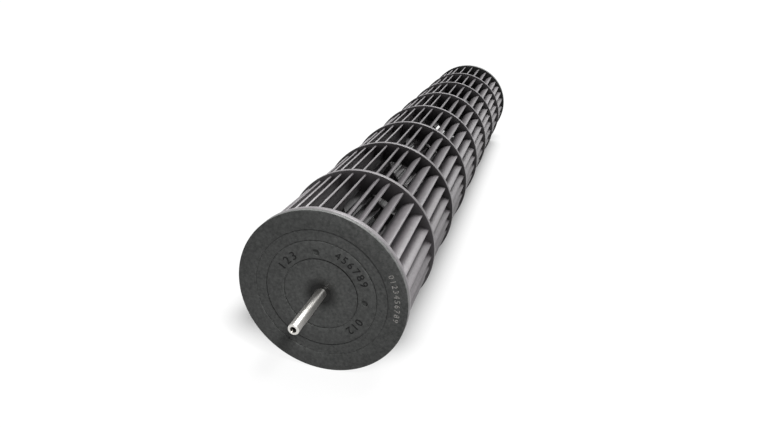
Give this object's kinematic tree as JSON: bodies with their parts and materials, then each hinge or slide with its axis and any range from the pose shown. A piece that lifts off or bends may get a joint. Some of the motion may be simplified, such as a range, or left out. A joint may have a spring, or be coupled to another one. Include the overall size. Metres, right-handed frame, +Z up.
{
  "type": "cross flow fan rotor",
  "caption": "Long cylindrical cross flow fan rotor of stacked blade rings, with a steel shaft at one end and a bored hub at the other.",
  "frame": {"origin": "centre of the mouth of the hub's bore, level with the outer face of the motor end plate", "axes": "+Y along the rotor's axis, out of the motor end; the bearing shaft points along -Y; +Z up, +X to the right as seen from the shaft end"},
  "size_m": [0.098, 0.5611, 0.098],
  "materials": {
    "fan_plastic": "moulded, fine matt, dark grey",
    "shaft_steel": "ground bright",
    "bush_rubber": "moulded",
    "hub_aluminium": "turned",
    "screw_steel": "black oxide"
  },
  "bodies": {
    "root": {"shaft_end_plate": "fan_plastic", "bearing_shaft": "shaft_steel", "blade_segment_1": "fan_plastic", "blade_segment_2": "fan_plastic", "blade_segment_3": "fan_plastic", "blade_segment_4": "fan_plastic", "blade_segment_5": "fan_plastic", "blade_segment_6": "fan_plastic", "blade_segment_7": "fan_plastic", "blade_segment_8": "fan_plastic", "motor_end_plate": "fan_plastic", "rubber_bush": "bush_rubber", "motor_hub": "hub_aluminium", "set_screw": "screw_steel"}
  },
  "joints": []
}
